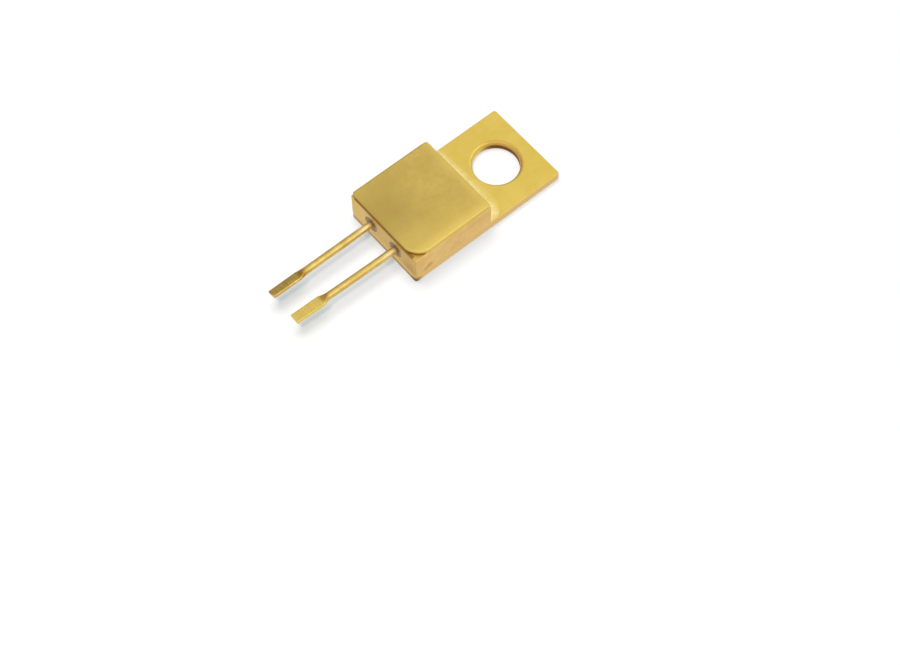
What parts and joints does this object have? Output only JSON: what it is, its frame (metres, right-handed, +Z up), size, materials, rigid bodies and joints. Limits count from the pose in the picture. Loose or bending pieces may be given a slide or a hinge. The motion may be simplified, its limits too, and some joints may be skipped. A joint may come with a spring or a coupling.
{
  "type": "temperature sensor",
  "caption": "Hermetic gold-plated temperature sensor: a welded metal case on a flange plate with a drilled tab, and round leads in glass seals with flattened solder tips.",
  "frame": {"origin": "axis of the mounting hole at the underside of the plate", "axes": "+X towards the end of the drilled tab (the leads leave towards -X), +Y to the left, +Z up through the lid, out of the mounting face"},
  "size_m": [0.0315, 0.0102, 0.0044],
  "materials": {
    "plate_gold": "gold plating over nickel-iron, satin, fine stamped grain",
    "ring_gold": "gold plating over nickel-iron, satin",
    "braze_gold": "gold-plated braze fillet, smooth and bright",
    "lid_gold": "gold plating over nickel-iron, fine matte",
    "seal_glass": "dark blue-grey sealing glass, opaque and glossy",
    "lead_gold": "gold-plated drawn wire, coined tips",
    "solder": "dull solder film",
    "alumina": "fired white alumina",
    "pad_gold": "fired gold land",
    "adhesive": "cured die adhesive",
    "platinum": "thin platinum film",
    "glaze": "clear protective glaze",
    "ribbon_gold": "bright gold ribbon and wire"
  },
  "bodies": {
    "root": {"base_plate": "plate_gold", "sidewall_ring": "ring_gold", "frame_braze": "braze_gold", "lid": "lid_gold", "left_seal_glass": "seal_glass", "right_seal_glass": "seal_glass", "left_lead": "lead_gold", "right_lead": "lead_gold", "tile_solder": "solder", "ceramic_tile": "alumina", "left_bond_pad": "pad_gold", "right_bond_pad": "pad_gold", "chip_adhesive": "adhesive", "sensor_chip": "alumina", "sensing_film": "platinum", "chip_glaze": "glaze", "left_lead_ribbon": "ribbon_gold", "right_lead_ribbon": "ribbon_gold", "left_chip_wire": "ribbon_gold", "right_chip_wire": "ribbon_gold"}
  },
  "joints": []
}
